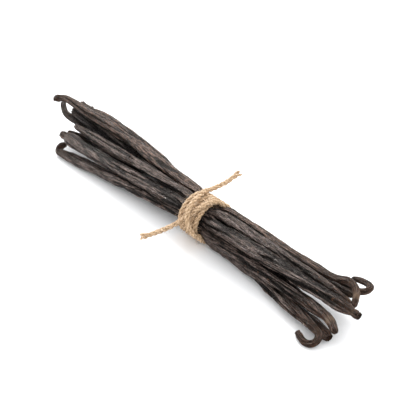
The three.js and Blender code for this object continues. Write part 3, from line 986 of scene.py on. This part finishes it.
# %% Start of the twine tree
END_LOOSE = 3.0 * MM
twister, twister_ids, given = new_tree("twist_plies", (
    ("Route", "Geometry", None), ("Lay length", "Float", 7.0 * MM),
    ("Ply radius", "Float", 0.50 * MM), ("Ply offset", "Float", 0.52 * MM),
    ("Fibres per square metre", "Float", 7.0e5), ("Fibre length", "Float", 2.2 * MM),
    ("Seed", "Int", 5), ("Finish", "Material", None)), "Twine")
twine_sums = partial(maths, twister)
curve = add(twister, "GeometryNodeMeshToCurve", {0: given["Route"]}).outputs[0]
run = add(twister, "GeometryNodeSplineParameter").outputs["Length"]
whole = add(twister, "GeometryNodeSplineLength").outputs["Length"]
to_end = twine_sums("MINIMUM", run, twine_sums("SUBTRACT", whole, run))
loose = twine_sums("SUBTRACT", 1.0, twine_sums("DIVIDE", to_end, END_LOOSE))
loose = twine_sums("MAXIMUM", loose, 0.0)
print("inputs of the twine tree:", ", ".join(twister_ids))

# %% [markdown]
# The tree winds three copies of the route round it, each a third of a turn on, and gives
# each a round section whose thickness wanders. One thick tube with a twisted bump would
# be lighter, but the grooves between plies are what makes twine look like twine.

# %% Twist the plies
PLIES, PLY_SIDES, LOOSE_SPREAD = 3, 9, 0.9
WANDER_SCALE, WANDER, THINNEST = 420.0, 0.35, 0.8
normal = add(twister, "GeometryNodeInputNormal").outputs[0]
tangent = add(twister, "GeometryNodeInputTangent").outputs[0]
side = vectors(twister, "CROSS_PRODUCT", {0: tangent, 1: normal})
section = add(twister, "GeometryNodeCurvePrimitiveCircle", {
    "Resolution": PLY_SIDES, "Radius": 1.0})
here = add(twister, "GeometryNodeInputPosition").outputs[0]
wander = add(twister, "ShaderNodeTexNoise", {
    "Vector": here, "Scale": WANDER_SCALE, "Detail": 2.0}).outputs[0]
thick = twine_sums("MULTIPLY", given["Ply radius"],
                   twine_sums("MULTIPLY_ADD", wander, WANDER, THINNEST))
reach = twine_sums("MULTIPLY", given["Ply offset"],
                   twine_sums("MULTIPLY_ADD", loose, LOOSE_SPREAD, 1.0))
turns = twine_sums("DIVIDE", run, given["Lay length"])
plies = add(twister, "GeometryNodeJoinGeometry")
for ply in range(PLIES):
    angle = twine_sums("MULTIPLY_ADD", turns, 2 * math.pi, ply * 2 * math.pi / PLIES)
    out, across = (vectors(twister, "SCALE", {
        0: way, "Scale": twine_sums("MULTIPLY", reach, twine_sums(wave, angle))})
        for way, wave in ((normal, "COSINE"), (side, "SINE")))
    wound = add(twister, "GeometryNodeSetPosition", {
        "Geometry": curve, "Offset": vectors(twister, "ADD", {0: out, 1: across})})
    tube = add(twister, "GeometryNodeCurveToMesh", {
        "Curve": wound.outputs[0], "Profile Curve": section.outputs[0], "Fill Caps": True,
        "Scale": thick})
    twister.links.new(tube.outputs[0], plies.inputs[0])
print("twine tree:", len(twister.nodes), "nodes so far")

# %% [markdown]
# Jute is hairy. A hair system would be dropped on export, so a fibre is a short arc with a
# triangular section, set on points scattered over the plies. The points are random but
# seeded. Each fibre is turned at random about the way the ply's surface faces, and its
# length varies, with more short fibres than long ones.

# %% The loose fibres of the twine
FIBRE_R, SHORTEST, TABLE_CLEAR = 0.018, 0.25, 0.02 * MM


def chance(low, high):
    """A random number for each fibre."""
    drawn = add(twister, "FunctionNodeRandomValue", {"Seed": given["Seed"]}, data_type="FLOAT")
    drawn.inputs[2].default_value, drawn.inputs[3].default_value = low, high
    return drawn.outputs[1]


scatter = add(twister, "GeometryNodeDistributePointsOnFaces", {
    "Mesh": plies.outputs[0], "Density": given["Fibres per square metre"],
    "Seed": given["Seed"]}).outputs
arc = add(twister, "GeometryNodeCurveQuadraticBezier", {
    "Resolution": 4, "Start": (0, 0, -0.02), "Middle": (0.1, 0, 0.45), "End": (0.75, 0, 0.62)})
triangle = add(twister, "GeometryNodeCurvePrimitiveCircle", {"Resolution": 3, "Radius": FIBRE_R})
fibre = add(twister, "GeometryNodeCurveToMesh", {
    "Curve": arc.outputs[0], "Profile Curve": triangle.outputs[0], "Fill Caps": True})
turn = add(twister, "FunctionNodeAxisAngleToRotation", {
    "Axis": (0, 0, 1), "Angle": chance(0.0, 2 * math.pi)})
facing = add(twister, "FunctionNodeRotateRotation", {
    "Rotation": scatter["Rotation"], "Rotate By": turn.outputs[0]}, rotation_space="LOCAL")
length = twine_sums("MULTIPLY", given["Fibre length"],
                    twine_sums("POWER", chance(SHORTEST, 1.0), 2.0))
placed = add(twister, "GeometryNodeInstanceOnPoints", {
    "Points": scatter["Points"], "Instance": fibre.outputs[0], "Rotation": facing.outputs[0],
    "Scale": length})
both = add(twister, "GeometryNodeJoinGeometry")
twister.links.new(plies.outputs[0], both.inputs[0])
twister.links.new(placed.outputs[0], both.inputs[0])
real = add(twister, "GeometryNodeRealizeInstances", {0: both.outputs[0]})
print("twine tree:", len(twister.nodes), "nodes so far")

# %% [markdown]
# The twine passes under the bundle, so some of its fibres would poke into the table. They
# could be deleted there, which would leave a bald strip, so points that are too low are
# lifted to the table top instead, as if the fibres were pressed flat.

# %% Keep the fibres above the table
at = add(twister, "ShaderNodeSeparateXYZ", {
    0: add(twister, "GeometryNodeInputPosition").outputs[0]}).outputs
lifted = add(twister, "ShaderNodeCombineXYZ", {
    0: at[0], 1: at[1], 2: twine_sums("MAXIMUM", at[2], TABLE_CLEAR)})
resting = add(twister, "GeometryNodeSetPosition", {
    "Geometry": real.outputs[0], "Position": lifted.outputs[0]})
dressed = add(twister, "GeometryNodeSetMaterial", {
    "Geometry": resting.outputs[0], "Material": given["Finish"]})
twister.links.new(dressed.outputs[0], twister.nodes.new("NodeGroupOutput").inputs[0])
print("twine tree:", len(twister.nodes), "nodes in all")

# %% [markdown]
# Jute is pale straw, browner deep between the fibres, and quite matt. Fine noise breaks its
# colour up at the scale of single fibres, and a slower one gives browner stretches. The
# plies turn all the time, so a pattern along the twine would gain nothing over plain places.

# %% Finish of the jute
SPECK_SCALE, CLOUD_SCALE = 1700.0, 320.0
OLD_STRAW = (0.42, 0.285, 0.165)
jute, tree, shader = finish("jute_fibre")
where = add(tree, "ShaderNodeTexCoord").outputs["Object"]
speck = add(tree, "ShaderNodeTexNoise", {
    "Vector": where, "Scale": SPECK_SCALE, "Detail": 4.0}).outputs[0]
cloud = add(tree, "ShaderNodeTexNoise", {
    "Vector": where, "Scale": CLOUD_SCALE, "Detail": 2.0}).outputs[0]
straw = ramp(tree, speck, (0.36, (0.20, 0.115, 0.055)), (0.52, (0.50, 0.355, 0.225)),
             (0.68, (0.72, 0.56, 0.40)))
straw = mix(tree, ramp(tree, cloud, (0.35, 0), (0.7, 0.5)), straw, OLD_STRAW)
tree.links.new(straw, shader.inputs["Base Color"])
shader.inputs["Roughness"].default_value = 0.85
shader.inputs["Specular IOR Level"].default_value = 0.25
bump = add(tree, "ShaderNodeBump", {"Height": speck, "Strength": 0.9, "Distance": 0.25 * MM})
tree.links.new(bump.outputs[0], shader.inputs["Normal"])
print("finish:", jute.name)

# %% [markdown]
# The route becomes a mesh of points and edges, and the tree turns it into the twine. It is
# one piece, because the turns, the knot and both tails are one length of twine.

# %% Make the twine
mesh = bpy.data.meshes.new("twine_jute")
mesh.from_pydata([tuple(p) for p in (route + ORIGIN) * MM],
                 [(i, i + 1) for i in range(len(route) - 1)], [])
twine = bpy.data.objects.new("twine_jute", mesh)
bpy.context.collection.objects.link(twine)
grown = grow(twine, twister, {twister_ids["Finish"]: jute})
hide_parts("twine")
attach(twine, "root")
print("twine", len(grown.polygons), "faces")

# %% [markdown]
# Last, the sizes: the dressed bundle should fill the same box as the imported one.

# %% Compare the boxes
visual_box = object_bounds()
for label, (low, high) in (("packed", cad_box), ("dressed", visual_box)):
    print(label, "mm:", [round((b - a) / MM, 1) for a, b in zip(low, high)])
